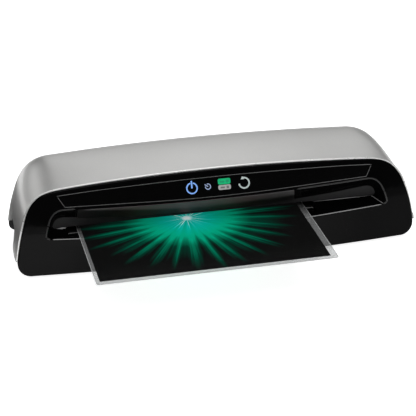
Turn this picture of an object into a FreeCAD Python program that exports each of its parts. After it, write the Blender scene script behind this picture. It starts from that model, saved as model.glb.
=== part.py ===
import FreeCAD, Part
import math
import os
from FreeCAD import Vector as V

os.makedirs("parts", exist_ok=True)

# ---------------------------------------------------------------- dimensions
# A3-class pouch laminator.  Millimetres, +Z up, the exit face looks to -Y.
# Working frame: z = 0 is the lower edge of the front face, y = 0 the front
# face at its two ends.  Everything is shifted to the row frame on export.
FOOT_H = 4.0            # rubber feet below the lower edge of the front face
BOW = 13.3              # plan bow of the front face, ends to middle
BOW_X = 260.0           # half width the bow is measured over
ZF = 50.0               # feed plane
SLOT_X0, SLOT_X1 = -198.0, 130.0      # exit slot, offset to the left
WALL = 3.0              # front face moulding
SKIN = 2.0              # silver cover skin
COVER_GAP = 0.3         # front moulding to cover
REAR_Y = 152.0          # outer face of the rear panel
R_HOT, R_EXIT = 11.0, 9.2             # silicone roller radii
NIP = 0.4               # half gap in each nip, the pouch runs in it
Y_HOT, Y_EXIT = 98.0, 52.0            # roller axes
ROLL_X0, ROLL_X1 = -194.0, 126.0      # silicone length
FR_L, FR_R = -204.0, 136.0            # inner faces of the side frames
FR_T = 1.5
GEAR_X0, GEAR_W = 140.5, 8.0
MOD = 1.2
N_HOT, N_EXIT, N_IDLER, N_PINION = 19, 16, 24, 12
POUCH_X0, POUCH_X1 = -185.0, 118.0
POUCH_Y0, POUCH_Y1 = -137.0, 79.0
POUCH_T = 0.5
HINGE_Y, HINGE_Z = 154.3, 42.0        # input tray hinge
TRAY_L = 53.0
# overall box in y runs from the pouch edge to the tray, its middle is the origin
Y_MAX = HINGE_Y + 1.6
Y_ORIGIN = (POUCH_Y0 + Y_MAX) / 2.0

ZHU, ZHL = ZF + NIP + R_HOT, ZF - NIP - R_HOT
ZEU, ZEL = ZF + NIP + R_EXIT, ZF - NIP - R_EXIT

FZ = [(-30, -0.5), (-10, -0.2), (0, 0.0), (12, 0.25), (25, 0.6), (38, 1.4), (51, 2.8),
      (61, 4.8), (70, 7.8), (79, 11.2), (87, 15.0), (94, 18.0), (100.8, 21.0),
      (110, 25.5), (118, 30.0), (126, 35.0), (140, 44.0)]


def fz(z):
    for (a, fa), (b, fb) in zip(FZ, FZ[1:]):
        if z <= b:
            return fa + (fb - fa) * (z - a) / (b - a)
    return FZ[-1][1]


def yf(x, z):
    return BOW * ((x / BOW_X) ** 2 - 1.0) + fz(z)


# ------------------------------------------------------------------- helpers
def box(x0, y0, z0, x1, y1, z1):
    return Part.makeBox(x1 - x0, y1 - y0, z1 - z0, V(x0, y0, z0))


def cylx(y, z, r, x0, x1):
    return Part.makeCylinder(r, x1 - x0, V(x0, y, z), V(1, 0, 0))


def cyly(x, z, r, y0, y1):
    return Part.makeCylinder(r, y1 - y0, V(x, y0, z), V(0, 1, 0))


def cylz(x, y, r, z0, z1):
    return Part.makeCylinder(r, z1 - z0, V(x, y, z0), V(0, 0, 1))


def face_of(pts):
    return Part.Face(Part.makePolygon([V(*p) for p in pts] + [V(*pts[0])]))


def poly_x(pts, x0, x1):
    return face_of([(x0, y, z) for y, z in pts]).extrude(V(x1 - x0, 0, 0))


def poly_y(pts, y0, y1):
    return face_of([(x, y0, z) for x, z in pts]).extrude(V(0, y1 - y0, 0))


def poly_z(pts, z0, z1):
    return face_of([(x, y, z0) for x, y in pts]).extrude(V(0, 0, z1 - z0))


def rbox(x0, y0, z0, x1, y1, z1, r, axis):
    b = box(x0, y0, z0, x1, y1, z1)
    es = []
    for e in b.Edges:
        d = e.Vertexes[1].Point - e.Vertexes[0].Point
        if abs(getattr(d, axis)) > 1e-6:
            es.append(e)
    return b.makeFillet(r, es)


def spline(pts, t0=None, t1=None, params=None):
    c = Part.BSplineCurve()
    kw = {"Points": [V(*p) for p in pts]}
    if params is not None:
        kw["Parameters"] = params
    if t0 is not None:
        kw["InitialTangent"] = V(*t0)
        kw["FinalTangent"] = V(*t1)
    c.interpolate(**kw)
    return c.toShape()


def fuse(shapes):
    s = shapes[0]
    if len(shapes) > 1:
        s = s.multiFuse(shapes[1:])
    return s.removeSplitter()


def group(shapes):
    out = []
    for s in shapes:
        out += s.Solids
    return Part.makeCompound(out)


NODES = []


def put(name, shape):
    solids = [s for s in shape.Solids if s.Volume > 0.02]
    shape = solids[0] if len(solids) == 1 else Part.makeCompound(solids)
    shape = shape.copy()
    shape.translate(V(0, -Y_ORIGIN, FOOT_H))
    shape.exportStep("parts/%s.step" % name)
    bb = shape.BoundBox
    NODES.append(name)
    print("%-22s n=%2d vol=%10.1f valid=%s  [%.1f %.1f %.1f | %.1f %.1f %.1f]" % (
        name, len(solids), shape.Volume, shape.isValid(),
        bb.XMin, bb.YMin, bb.ZMin, bb.XMax, bb.YMax, bb.ZMax))


# -------------------------------------------------------- front face surface
def behind(t):
    """Everything behind the front face surface pushed back by t."""
    wires = []
    for i in range(-5, 6):
        x = i * 60.0
        off = BOW * ((x / BOW_X) ** 2 - 1.0) + t
        pts = [(x, f + off, z) for z, f in FZ]
        e = spline(pts)
        a, b = V(*pts[0]), V(*pts[-1])
        l1 = Part.makeLine(b, V(x, 210, b.z))
        l2 = Part.makeLine(V(x, 210, b.z), V(x, 210, a.z))
        l3 = Part.makeLine(V(x, 210, a.z), a)
        wires.append(Part.Wire([e, l1, l2, l3]))
    return Part.makeLoft(wires, True, False)


# right half of the face outline, top middle to bottom
HALF = [(0, 116.5), (50, 115.95), (100, 114.25), (150, 111.4), (180, 109.2),
        (205, 106.9), (216, 105.3), (226, 102.6), (234, 98.7), (240.6, 93.2),
        (246, 86.3), (250.3, 78), (254.5, 66), (257.8, 55.5), (260.6, 44),
        (263.2, 31), (264.9, 20), (264.4, 12.5), (260.6, 5.4), (254.0, 1.0),
        (246, 0)]


def offset_pts(pts, off, t_first, t_last):
    out = []
    n = len(pts)
    for i, (x, z) in enumerate(pts):
        if i == 0:
            tx, tz = t_first
        elif i == n - 1:
            tx, tz = t_last
        else:
            ax, az = x - pts[i - 1][0], z - pts[i - 1][1]
            bx, bz = pts[i + 1][0] - x, pts[i + 1][1] - z
            la, lb = math.hypot(ax, az), math.hypot(bx, bz)
            tx, tz = ax / la / la + bx / lb / lb, az / la / la + bz / lb / lb
        l = math.hypot(tx, tz)
        tx, tz = tx / l, tz / l
        out.append((x - tz * off, z + tx * off))
    return out


# toward the rear the housing gets squarer shoulders and narrows a little
RAISE = [1.9, 2.1, 2.8, 3.9, 4.6, 5.6, 6.0, 5.3, 4.2, 3.0, 1.5, 0.3] + [0.0] * 9
NARROW = [(-99, 0), (15, 0), (30, 0.4), (44, 0.85), (60, 1.15), (80, 1.75), (98, 2.45),
          (110, 2.9), (122, 3.3), (135, 3.75), (150, 4.1), (200, 4.2)]


def section(y):
    t = min(1.0, max(0.0, (y - 50.0) / 68.0))
    w = t * t * (3.0 - 2.0 * t)
    k = 0.0
    for (a, ka), (b, kb) in zip(NARROW, NARROW[1:]):
        if a <= y <= b:
            k = ka + (kb - ka) * (y - a) / (b - a)
    k = 1.0 - k / 262.0
    return [(x * k, z + w * d) for (x, z), d in zip(HALF, RAISE)]


def outline(y, off=0.0, dz=0.0):
    h = offset_pts(section(y), off, (1, 0), (-1, 0))
    loop = [(x, y, z + dz) for x, z in reversed(h)] + [(-x, y, z + dz) for x, z in h[1:]]
    acc = [0.0]
    for p, q in zip(loop, loop[1:]):
        acc.append(acc[-1] + math.sqrt(math.hypot(q[0] - p[0], q[2] - p[2])))
    e1 = spline(loop, params=[a / acc[-1] for a in acc])
    e2 = Part.makeLine(V(*loop[-1]), V(*loop[0]))
    return Part.Wire([e1, e2])


def outline_prism(y0, y1, off=0.0, dz=0.0):
    return Part.Face(outline(y0, off, dz)).extrude(V(0, y1 - y0, 0))


S0 = behind(0.0)
S14 = behind(14.0)

# ------------------------------------------------------------- exit recess
# pairs of (x, z) on the face and (x, z) on the back wall plane y = 19
BACK_Y = 19.0
REC = [((222, 49.6), (211, 54.1)), ((226.6, 52.5), (215.6, 56.5)),
       ((225.4, 60), (215.4, 60.5)), ((222.6, 68.5), (213.6, 64.5)),
       ((218.8, 76), (210.2, 67.6)), ((212.5, 81.8), (205, 69.3)),
       ((203, 84.3), (197, 69.0)), ((180, 84.1), (178, 66.9)),
       ((150, 83.6), (150, 64.0)), ((100, 82.9), (100, 60.9)),
       ((50, 82.5), (50, 59.6)), ((0, 82.4), (0, 59.3))]
REC_B = [((0, 45.0), (0, 54.1)), ((60, 45.3), (60, 54.1)),
         ((120, 46.2), (118, 54.1)), ((160, 47.5), (155, 54.1)),
         ((200, 48.8), (191, 54.1)), ((222, 49.6), (211, 54.1))]


def rec_at(pairs, y):
    out = []
    for (xf_, zf_), (xb, zb) in pairs:
        y0 = yf(xf_, zf_)
        k = (y - BACK_Y) / (y0 - BACK_Y)
        out.append((xb + (xf_ - xb) * k, zb + (zf_ - zb) * k))
    return out


def rec_wire(y, off=0.0):
    up = rec_at(REC, y)
    bot = rec_at(REC_B, y)
    full = up + [(-x, z) for x, z in reversed(up[:-1])]
    base = [(-x, z) for x, z in reversed(bot[1:])] + bot
    if off:
        # outward normals, the loop runs right side up and over to the left
        n = len(full)
        t0 = (full[1][0] - full[0][0], full[1][1] - full[0][1])
        t1 = (full[-1][0] - full[-2][0], full[-1][1] - full[-2][1])
        full = offset_pts(full, -off, t0, t1)
        base = [(x, z - off) for x, z in base]
        full[0] = (full[0][0] + 0.3, base[-1][1])
        full[-1] = (-full[0][0], base[0][1])
        base[-1] = full[0]
        base[0] = full[-1]
    n = len(full)
    pf = [i / float(n - 1) for i in range(n)]
    m = len(base)
    pb = [i / float(m - 1) for i in range(m)]
    e1 = spline([(x, y, z) for x, z in full], params=pf)
    e2 = spline([(x, y, z) for x, z in base], params=pb)
    return Part.Wire([e1, e2])


def recess(y1, off=0.0):
    return Part.makeLoft([rec_wire(-30.0, off), rec_wire(y1, off)], True, True)


CAV = recess(BACK_Y + 1.0)
CAV_LONG = CAV
CAV_OUT = recess(BACK_Y, 2.5)

# lowered floor in front of the slot
NOTCH = poly_x([(-8, 49.0), (-3, 48.5), (3, 46.6), (8, 46.2), (26, 46.2), (26, 56.0),
                (-8, 56.0)], SLOT_X0, SLOT_X1)

# ------------------------------------------------------------- control panel
P_TOP = [(-208.7, 100.8), (-165, 103.9), (-110, 106.3), (-56, 107.8), (0, 108.3),
         (56, 107.8), (110, 106.3), (165, 103.9), (208.7, 100.8)]
P_BOT = [(200, 87.2), (155, 86.9), (104, 86.1), (52, 85.2), (0, 84.9), (-52, 85.2),
         (-104, 86.1), (-155, 86.9), (-200, 87.2)]


def panel_prism(shrink):
    s = shrink
    top = [(x * (1 - s / 208.7), z - s) for x, z in P_TOP]
    bot = [(x * (1 - s / 200.0), z + s) for x, z in P_BOT]
    e1 = spline([(x, -40, z) for x, z in top])
    e2 = Part.makeLine(V(top[-1][0], -40, top[-1][1]), V(bot[0][0], -40, bot[0][1]))
    e3 = spline([(x, -40, z) for x, z in bot])
    e4 = Part.makeLine(V(bot[-1][0], -40, bot[-1][1]), V(top[0][0], -40, top[0][1]))
    return Part.Face(Part.Wire([e1, e2, e3, e4])).extrude(V(0, 100, 0))


def slab(t0, t1):
    return behind(t0).cut(behind(t1))


# ------------------------------------------------------------- front bezel
solid = outline_prism(-40, 60).common(S0)
try:
    front = None
    for f in solid.Faces:
        c = f.CenterOfMass
        if c.y < 25 and f.Area > 40000 and abs(c.x) < 5 and 30 < c.z < 80:
            front = f
    solid = solid.makeFillet(1.6, front.Edges)
    print("bezel edge rounded")
except Exception as ex:
    print("bezel edge left sharp:", ex)
bez = solid.cut(S14)
bez = bez.cut(outline_prism(-40, 60, -WALL).common(behind(WALL)))
liner = CAV_OUT.common(behind(1.2))
throat_floor = box(SLOT_X0 - 3, -3, 43.6, SLOT_X1 + 3, BACK_Y, 46.2).common(behind(1.2))
bez = fuse([bez, liner, throat_floor])
bez = bez.cut(CAV)
bez = bez.cut(NOTCH)
bez = bez.cut(panel_prism(0.0).cut(behind(2.4)))
bez = bez.cut(panel_prism(3.0))
# two posts that carry the control board
TILT = math.degrees(math.atan((fz(104) - fz(90)) / 14.0))


def tilted(shape):
    """Place a shape drawn flat (x, z up, y = depth behind the lens) on the face."""
    s = shape.copy()
    s.rotate(V(0, 0, 0), V(1, 0, 0), -TILT)
    s.translate(V(0, yf(0, 96.5), 96.5))
    return s


posts = [tilted(cyly(x, -13.2, 2.6, 1.4, 9.0)) for x in (-70, 70)]
posts = [p.common(behind(1.0)) for p in posts]
bez = fuse([bez] + posts)
bez = bez.cut(group([tilted(cyly(x, -13.2, 1.2, 4.0, 12.0)) for x in (-70, 70)]))
put("front_bezel", bez)

# slot back wall with the upper exit guide behind it
wall = rbox(-218, BACK_Y + 0.05, 43, 218, BACK_Y + 2.0, 75, 3.0, "y")
wall = wall.cut(rbox(SLOT_X0 - 0.5, BACK_Y - 2, 45.9, SLOT_X1 + 0.5, BACK_Y + 5, 55.6, 2.0, "y"))
shelf = poly_x([(BACK_Y + 1.5, 55.6), (BACK_Y + 1.5, 57.6), (30, 56.0), (42, 54.2), (42, 52.6), (30, 53.9)],
               SLOT_X0 - 0.5, SLOT_X1 + 0.5)
put("exit_slot_frame", fuse([wall, shelf]))

# satin deflector strip on the underside of the hood
N_ = V(0, -0.79, -0.61)
shift = CAV.copy()
shift.translate(V(N_.x * 0.9, N_.y * 0.9, N_.z * 0.9))
trim = CAV.cut(shift).common(box(-184, -30, 57.5, 110, 18.2, 90)).common(behind(0.7))
trim = trim.cut(Part.Face(Part.makePolygon([V(89.1, -30, 50), V(200, -30, 50), V(200, 30, 50), V(107.9, 30, 50),
                                            V(89.1, -30, 50)])).extrude(V(0, 0, 60)))
trim.translate(V(N_.x * 0.06, N_.y * 0.06, N_.z * 0.06))
best = sorted(trim.Solids, key=lambda s: -s.Volume)[:1]
put("hood_deflector", best[0])

# ------------------------------------------------------------- panel + icons
ZS = 0.915          # the face leans back here, so a round symbol is this much lower in z


def ring(cx, cz, ro, ri, a0, a1):
    """Open ring on the leaning face, angles in degrees from +x toward +z."""
    pts = []
    n = 40
    for i in range(n + 1):
        a = math.radians(a0 + (a1 - a0) * i / n)
        pts.append((cx + ro * math.cos(a), cz + ZS * ro * math.sin(a)))
    for i in range(n, -1, -1):
        a = math.radians(a0 + (a1 - a0) * i / n)
        pts.append((cx + ri * math.cos(a), cz + ZS * ri * math.sin(a)))
    return poly_y(pts, -40, 60)


def shape(cx, cz, pts):
    return poly_y([(cx + x, cz + ZS * z) for x, z in pts], -40, 60)


def rrect(x0, z0, x1, z1, r):
    return rbox(x0, -40, z0, x1, 60, z1, r, "y")


power = group([ring(-35.9, 97.2, 7.6, 5.9, 103, 437), rrect(-36.85, 97.0, -34.95, 105.9, 0.6)])
timer = group([ring(-14.9, 97.4, 3.95, 2.85, 172, 472),
               shape(-14.9, 97.4, [(-0.4, -0.5), (-4.5, 2.7), (-3.8, 3.6), (0.4, 0.5)])])
win_up = rrect(-1.4, 98.3, 15.2, 105.1, 2.0)
win_lo = rrect(-1.4, 91.9, 15.2, 97.6, 2.0)
rev = group([ring(33.1, 97.4, 7.7, 5.7, -176, 92),
             shape(33.1, 97.4, [(-2.1, 8.6), (-4.1, 5.0), (0.1, 4.7), (0.1, 7.4)])])
icons = {"icon_power": power, "icon_timer": timer, "status_window_upper": win_up,
         "status_window_lower": win_lo, "icon_reverse": rev}
icons = {k: (fuse(v.Solids) if len(v.Solids) > 1 else v) for k, v in icons.items()}
lens = panel_prism(0.35).common(slab(0.5, 2.25))
front_layer = slab(0.0, 1.1)
for nm, sh in icons.items():
    lens = lens.cut(sh.common(front_layer))
put("panel_lens", lens)
ilayer = slab(0.45, 1.08)
for nm, sh in icons.items():
    s2 = []
    for q in sh.Solids:
        s2 += q.common(ilayer).Solids
    put(nm, Part.makeCompound(s2))

# ---------------------------------------------------------------- top cover
COV = [(-22, 0), (-8, 0), (6, 0), (17, 0.0), (25, 0.6), (33, 1.5), (42, 2.7), (55, 4.2),
       (70, 5.1), (85, 4.9), (100, 3.6), (110, 2.1), (120, -0.4), (129, -3.7),
       (137, -8.3), (143, -14.0), (147.5, -20.6), (150, -27.0)]
outer = Part.makeLoft([outline(y, COVER_GAP + SKIN, s) for y, s in COV], True, False)
inner = Part.makeLoft([outline(y, COVER_GAP, s) for y, s in
                       [(-24, 0)] + COV[1:-1] + [(150, -27.0), (150.6, -28.6)]], True, False)
cover = outer.cut(inner).common(behind(1.2))
# lower edge of the silver skin, with the hand-hold arch in each side
EDGE = [(92.0, 38.0), (200.0, -12.4)]
low = poly_x([(-60, -60), (-60, 23.5), (0, 22.0), (43.7, 14.5), (43.2, 17.0), (42.0, 30.0), (43.4, 39.0),
              (46.6, 44.8), (53.0, 47.8), (65.0, 48.5), (89.5, 48.5), (91.4, 47.7), (92.0, 46.0)] +
             EDGE + [(200, -60)], -300, 300)
cover = cover.cut(low)
# screw bosses in the four legs
bosses = []
for sx in (-1, 1):
    for y, z0, z1 in ((27.0, 19.0, 34.0), (127.0, 26.0, 40.0)):
        b = cylz(sx * 246, y, 4.0, 6.2, z1)
        rib = box(min(sx * 246, sx * 270), y - 1.2, z0, max(sx * 246, sx * 270), y + 1.2, z1)
        bosses.append(fuse([b, rib]))
bosses = [b.common(outer) for b in bosses]
holes = [cylz(sx * 246, y, 1.93, 5, 14) for sx in (-1, 1) for y in (27.0, 127.0)]
cover = fuse([cover] + bosses).cut(group(holes))
put("top_cover", cover)

# ---------------------------------------------------------------- rear cover
rear = outline_prism(145.5, REAR_Y, -0.1, -28.6)
rear = rear.cut(outline_prism(144, REAR_Y - 2.5, -2.4, -28.6))
rear = rear.cut(box(-300, 100, -60, 300, 200, 0.6))
for sx in (-1, 1):
    q = box(min(sx * 251.4, sx * 270), 100, -10, max(sx * 251.4, sx * 270), 200, 8.6)
    rear = rear.cut(q.cut(cyly(sx * 251.4, 8.6, 8.0, 90, 210)))
rear = rear.cut(box(-257, 140, 0.6, 257, REAR_Y - 2.5, 15.9))
ENTRY = rbox(SLOT_X0 - 2, 140, 44.0, SLOT_X1 + 2, 160, 57.6, 2.5, "y")
rear = rear.cut(ENTRY)
# hinge lugs for the input tray
for x0 in (SLOT_X0 - 13.0, SLOT_X1 + 8.0):
    lug = fuse([box(x0, REAR_Y - 0.5, HINGE_Z - 4, x0 + 5, HINGE_Y, HINGE_Z + 4),
                cylx(HINGE_Y, HINGE_Z, 4.0, x0, x0 + 5)])
    lug = lug.cut(box(x0 - 1, Y_MAX - 0.2, 30, x0 + 6, 170, 50))
    rear = fuse([rear, lug]).cut(cylx(HINGE_Y, HINGE_Z, 1.05, x0 - 1, x0 + 6))
vents = []
for i in range(7):
    x = 150 + i * 6.5
    vents.append(rbox(x, 140, 56, x + 2.6, 160, 72, 1.2, "y"))
for i in range(5):
    x = -244 + i * 6.5
    vents.append(rbox(x, 140, 26, x + 2.6, 160, 50, 1.2, "y"))
for v in vents:
    rear = rear.cut(v)
INLET = (201.0, 10.5, 229.0, 31.5)
SWITCH = (204.0, 38.0, 226.0, 53.0)
rear = rear.cut(box(INLET[0] - 0.2, 140, INLET[1] - 0.2, INLET[2] + 0.2, 160, INLET[3] + 0.2))
rear = rear.cut(box(SWITCH[0] - 0.2, 140, SWITCH[1] - 0.2, SWITCH[2] + 0.2, 160, SWITCH[3] + 0.2))
put("rear_cover", rear)

# mains inlet: flanged shell with a cavity and three flat pins
inl = fuse([box(INLET[0], 130, INLET[1], INLET[2], REAR_Y, INLET[3]),
            rbox(INLET[0] - 2, REAR_Y + 0.02, INLET[1] - 2, INLET[2] + 2, REAR_Y + 1.5, INLET[3] + 2, 1.5, "y"),
            box(INLET[0], REAR_Y - 1, INLET[1], INLET[2], REAR_Y + 1, INLET[3])])
cav = poly_y([(203, 13), (227, 13), (227, 25.5), (222.5, 29.5), (207.5, 29.5), (203, 25.5)], 134, 160)
pins = [box(x - 1, 133.5, z - 2.1, x + 1, 148, z + 2.1) for x, z in ((208, 18.5), (222, 18.5))] + \
       [box(214, 133.5, 20.5, 216, 148, 25)]
put("mains_inlet", fuse([inl.cut(cav)] + pins))

# rocker switch: housing and its see-saw button
SW_Y, SW_Z = 149.0, (SWITCH[1] + SWITCH[3]) / 2.0
hous = fuse([box(SWITCH[0], 134, SWITCH[1], SWITCH[2], REAR_Y, SWITCH[3]),
             rbox(SWITCH[0] - 1.2, REAR_Y + 0.02, SWITCH[1] - 1.2, SWITCH[2] + 1.2, REAR_Y + 1.2, SWITCH[3] + 1.2, 1.0, "y"),
             box(SWITCH[0], REAR_Y - 1, SWITCH[1], SWITCH[2], REAR_Y + 1, SWITCH[3])])
hous = hous.cut(box(SWITCH[0] + 1.6, 140, SWITCH[1] + 1.6, SWITCH[2] - 1.6, 160, SWITCH[3] - 1.6))
xa, xb = SWITCH[0] + 2.0, SWITCH[2] - 2.0
pin_r = 1.0
for xx in (SWITCH[0] + 0.6, SWITCH[2] - 1.8):
    hous = hous.cut(cylx(SW_Y, SW_Z, pin_r + 0.05, xx, xx + 1.2))
put("rocker_housing", hous)
zz0, zz1 = SWITCH[1] + 2.4, SWITCH[3] - 2.4
SWC = (zz0 + zz1) / 2.0
btn = poly_x([(146.0, SWC - 3.6), (148.0, zz0), (152.6, zz0), (152.0, SWC), (152.6, zz1), (148.0, zz1),
              (146.0, SWC + 3.6)], xa, xb)
btn = fuse([btn, cylx(SW_Y, SW_Z, pin_r, SWITCH[0] + 0.75, SWITCH[2] - 0.75)])
put("rocker_button", btn)

# ---------------------------------------------------------------- input tray
TRX0, TRX1 = SLOT_X0 - 7.5, SLOT_X1 + 7.5
tray_pts = [(TRX0, HINGE_Z), (TRX1, HINGE_Z), (TRX1, HINGE_Z + 38), (TRX1 - 5, HINGE_Z + 44),
            (60, HINGE_Z + TRAY_L - 3), (-34, HINGE_Z + TRAY_L), (-130, HINGE_Z + TRAY_L - 3),
            (TRX0 + 5, HINGE_Z + 44), (TRX0, HINGE_Z + 38)]
tray = poly_y(tray_pts, HINGE_Y - 1.6, HINGE_Y + 0.2)
barrel = cylx(HINGE_Y, HINGE_Z, 1.6, TRX0, TRX1)
pinst = cylx(HINGE_Y, HINGE_Z, 1.0, SLOT_X0 - 12.6, SLOT_X1 + 12.6)
ribs = [box(x - 0.8, HINGE_Y - 0.5, HINGE_Z, x + 0.8, HINGE_Y + 1.6, HINGE_Z + 40) for x in
        (-190, -140, -90, -34, 22, 72, 122)]
rim = box(TRX0, HINGE_Y - 0.5, HINGE_Z + 37, TRX1, HINGE_Y + 1.6, HINGE_Z + 38.6)
put("input_tray", fuse([tray, barrel, pinst, rim] + ribs))

# ---------------------------------------------------------------- base tray
def footprint(x, y1, z0, z1, r):
    return rbox(-x, -60, z0, x, y1, z1, r, "z")


GR0, GR1, GRX = 45.0, 108.5, 238.0
b_out = footprint(255, 145.2, 0.5, 15.6, 14).common(behind(14.4))
b_in = footprint(252.5, 142.7, 3.0, 40, 11.5).common(behind(16.9))
for s in (-1, 1):
    b_out = b_out.cut(box(min(s * GRX, s * 300), GR0, -5, max(s * GRX, s * 300), GR1, 50))
    b_in = b_in.cut(box(min(s * (GRX - 2.5), s * 300), GR0 - 2.5, -5, max(s * (GRX - 2.5), s * 300), GR1 + 2.5, 50))
base = b_out.cut(b_in)


def corner_block(s, y0, y1, xo0, xo1, zb0, zb1, zt0, zt1, r, xi):
    q = poly_x([(y0, zt0), (y1, zt1), (y1, zb1), (y0, zb0)], min(s * 240, s * 280), max(s * 240, s * 280))
    plan = [(240, y0), (xo0, y0), (xo1, y1), (240, y1), (240, y0)]
    q = q.common(Part.Face(Part.makePolygon([V(s * x, y, -20) for x, y in plan])).extrude(V(0, 0, 100)))
    ends = (V(s * xo0, y0, zb0), V(s * xo1, y1, zb1))
    es = [e for e in q.Edges if all(min((v.Point - p).Length for p in ends) < 0.05 for v in e.Vertexes)]
    q = q.makeFillet(r, es[:1])
    return q.common(box(min(s * xi, s * 280), y0 - 1, -20, max(s * xi, s * 280), y1 + 1, 90))


# black rear lower corners, flush with the silver skin above them
for s in (-1, 1):
    co = corner_block(s, 108.0, 145.2, 264.0, 260.6, 16.0, 0.6, 30.1, 12.7, 8.5, 253.0)
    ci = corner_block(s, 110.4, 142.8, 261.4, 258.4, 17.4, 4.0, 60.0, 60.0, 6.1, 255.0)
    base = base.fuse(co.cut(ci))
base = base.removeSplitter()
add, cut = [], []
SCREWS = [(-197, 44), (-197, 122), (129, 44), (129, 122)] + [(sx * 246, y) for sx in (-1, 1) for y in (27.0, 127.0)]
for x, y in SCREWS:
    add.append(cylz(x, y, 6.0, 2.0, 6.0))
    cut.append(cylz(x, y, 4.2, -1, 3.1))
    cut.append(cylz(x, y, 2.1, -1, 8))
PCB_P = [(158, 28), (226, 28), (158, 84), (226, 84)]
for x, y in PCB_P:
    add.append(cylz(x, y, 3.0, 2.0, 12.0))
for x in (-160, -120, -80, -40, 0, 40, 80):
    add.append(box(x - 0.9, 18, 2.0, x + 0.9, 140, 8.0))
for y in (30, 76, 134):
    add.append(box(-180, y - 0.9, 2.0, 110, y + 0.9, 8.0))
base = fuse([base] + add)
for i in range(4):
    for j in range(6):
        cx = -140 + j * 40
        cut.append(rbox(cx - 14, 86 + i * 8, -1, cx + 14, 89 + i * 8, 5, 1.4, "z"))
for i in range(6):
    cut.append(rbox(168 + i * 8, 96, -1, 171 + i * 8, 130, 5, 1.4, "z"))
base = base.cut(group(cut))
base = base.cut(box(200.6, 140, 10.1, 229.4, 150, 20))
put("base_tray", base)
feet = []
for sx in (-1, 1):
    for y in (33.0, 130.0):
        feet.append(Part.makeCone(9.0, 10.0, 1.0, V(sx * 220, y, -FOOT_H)).fuse(
            cylz(sx * 220, y, 10.0, -FOOT_H + 1.0, 0.5)).removeSplitter())
put("rubber_feet", group(feet))
put("case_screws", group([fuse([cylz(x, y, 3.9, 0.9, 3.05), cylz(x, y, 1.9, 3.0, 12.0)]).cut(
    fuse([box(x - 2.6, y - 0.45, 0.5, x + 2.6, y + 0.45, 1.9), box(x - 0.45, y - 2.6, 0.5, x + 0.45, y + 2.6, 1.9)]))
    for x, y in SCREWS]))

# hand-hold liners
keep = outline_prism(40, 120, -2.7, 0)
for s, nm in ((-1, "grip_liner_left"), (1, "grip_liner_right")):
    def bx(xa_, ya_, za_, xb_, yb_, zb_):
        return box(min(s * xa_, s * xb_), ya_, za_, max(s * xa_, s * xb_), yb_, zb_)
    ln = fuse([bx(235.6, 39.4, 16.0, 237.9, 110.5, 52.4), bx(237, 42.4, 50.0, 275, 110.5, 52.4),
               poly_x([(42.6, 52.4), (42.6, 44.8), (39.6, 31.0), (40.8, 16.0), (42.4, 16.0), (41.2, 30.6),
                       (44.4, 44.4), (44.6, 52.4)], min(s * 237, s * 275), max(s * 237, s * 275)),
               bx(237, 108.2, 16.0, 275, 110.5, 52.4)])
    ln = ln.cut(bx(252.7, 107.6, 0, 290, 112, 31.2))
    put(nm, ln.common(keep))

# ---------------------------------------------------------------- side frames
FR_PTS = [(30, 6.1), (136, 6.1), (136, 78), (122, 92), (60, 92), (34, 72), (30, 60)]
UH, UE = 7.0, 6.0


def side_frame(x0, inward):
    fr = poly_x(FR_PTS, x0, x0 + FR_T)
    x1 = x0 + FR_T
    fl0 = (x0 + FR_T - 0.01, x0 + FR_T + 14.5) if inward > 0 else (x0 - 14.5, x0 + 0.01)
    fl = box(fl0[0], 36, 6.1, fl0[1], 130, 7.6)
    fr = fuse([fr, fl])
    fr = fr.cut(cylx(Y_HOT, ZHL, 7.1, x0 - 1, x1 + 1))
    fr = fr.cut(cylx(Y_EXIT, ZEL, 6.1, x0 - 1, x1 + 1))
    fr = fr.cut(box(x0 - 1, Y_HOT - 7.1, ZHU - 7.1, x1 + 1, Y_HOT + 7.1, 83.0))
    fr = fr.cut(box(x0 - 1, Y_EXIT - 6.1, ZEU - 6.1, x1 + 1, Y_EXIT + 6.1, 78.0))
    fr = fr.cut(cylx(122, 60, 9.0, x0 - 1, x1 + 1))
    fr = fr.cut(cylx(75, 72, 8.0, x0 - 1, x1 + 1))
    return fr


cx_l = [cylz(-197, 44, 1.93, 5, 9), cylz(-197, 122, 1.93, 5, 9)]
cx_r = [cylz(129, 44, 1.93, 5, 9), cylz(129, 122, 1.93, 5, 9)]
put("side_frame_left", side_frame(FR_L - FR_T, 1).cut(group(cx_l)))

# gear geometry
PH = MOD * N_HOT / 2
PE = MOD * N_EXIT / 2
PI_ = MOD * N_IDLER / 2
PP = MOD * N_PINION / 2
dE = math.hypot(Y_HOT - Y_EXIT, ZHL - ZEL)
a_, b_ = PE + PI_, PH + PI_
xa_ = (a_ ** 2 - b_ ** 2 + dE ** 2) / (2 * dE)
h_ = math.sqrt(a_ ** 2 - xa_ ** 2)
ux, uz = (Y_HOT - Y_EXIT) / dE, (ZHL - ZEL) / dE
IY, IZ = Y_EXIT + ux * xa_ + uz * h_, ZEL + uz * xa_ - ux * h_
PANG = math.radians(-20.0)
PY, PZ = Y_HOT + (PH + PP) * math.cos(PANG), ZHL + (PH + PP) * math.sin(PANG)
print("GEOM idler %.4f %.4f pinion %.4f %.4f" % (IY, IZ, PY, PZ))

fr_r = side_frame(FR_R, -1).cut(group(cx_r))
fr_r = fr_r.cut(cylx(IY, IZ, 2.52, FR_R - 2, FR_R + 3))
put("side_frame_right", fr_r)

put("tie_rods", group([cylx(y, z, 3.0, FR_L + 0.02, FR_R - 0.02) for y, z in
                       ((122, 82), (41, 68), (130, 14), (37, 14))]))
bar = box(FR_L + 0.05, 66, 84, FR_R - 0.05, 84, 91.5).cut(box(FR_L - 1, 67.2, 80, FR_R + 1, 82.8, 90.3))
bar = bar.cut(group([cylz(x, 75, 3.0, 80, 95) for x in (-150, -90, -34, 22, 82)]))
put("top_crossbar", bar)


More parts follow.
